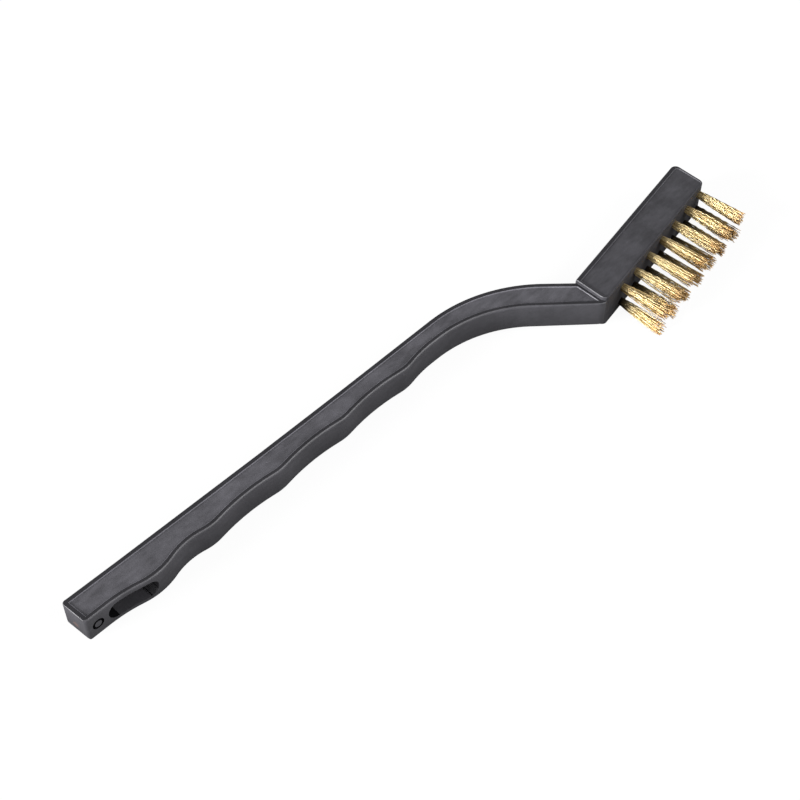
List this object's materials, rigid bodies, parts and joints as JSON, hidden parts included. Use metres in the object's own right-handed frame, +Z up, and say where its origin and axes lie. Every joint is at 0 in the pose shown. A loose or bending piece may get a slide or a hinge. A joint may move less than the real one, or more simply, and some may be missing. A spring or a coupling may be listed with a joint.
{
  "type": "wire brush",
  "caption": "Slim plastic hand brush with a bent neck and a thick head holding crimped brass wire tufts, for cleaning tips.",
  "frame": {"origin": "middle of the head's flat lower side, the side the brush rests on when it lies on a bench", "axes": "+X from the hang end to the head along the straight back of the handle, +Y to the back, away from the wires, +Z up through the thickness"},
  "size_m": [0.1802, 0.0349, 0.0092],
  "materials": {
    "handle_plastic": "charcoal moulded plastic: smooth satin rims and faces, finely textured side panels",
    "brass_wire": "fine crimped brass wire, bright shafts with darker cut tips",
    "anchor_steel": "flat cut strip"
  },
  "bodies": {
    "root": {"handle": "handle_plastic", "tuft_upper_1": "brass_wire", "tuft_upper_2": "brass_wire", "tuft_upper_3": "brass_wire", "tuft_upper_4": "brass_wire", "tuft_upper_5": "brass_wire", "tuft_upper_6": "brass_wire", "tuft_upper_7": "brass_wire", "tuft_lower_1": "brass_wire", "tuft_lower_2": "brass_wire", "tuft_lower_3": "brass_wire", "tuft_lower_4": "brass_wire", "tuft_lower_5": "brass_wire", "tuft_lower_6": "brass_wire", "tuft_lower_7": "brass_wire", "anchor_upper_1": "anchor_steel", "anchor_upper_2": "anchor_steel", "anchor_upper_3": "anchor_steel", "anchor_upper_4": "anchor_steel", "anchor_upper_5": "anchor_steel", "anchor_upper_6": "anchor_steel", "anchor_upper_7": "anchor_steel", "anchor_lower_1": "anchor_steel", "anchor_lower_2": "anchor_steel", "anchor_lower_3": "anchor_steel", "anchor_lower_4": "anchor_steel", "anchor_lower_5": "anchor_steel", "anchor_lower_6": "anchor_steel", "anchor_lower_7": "anchor_steel"}
  },
  "joints": []
}
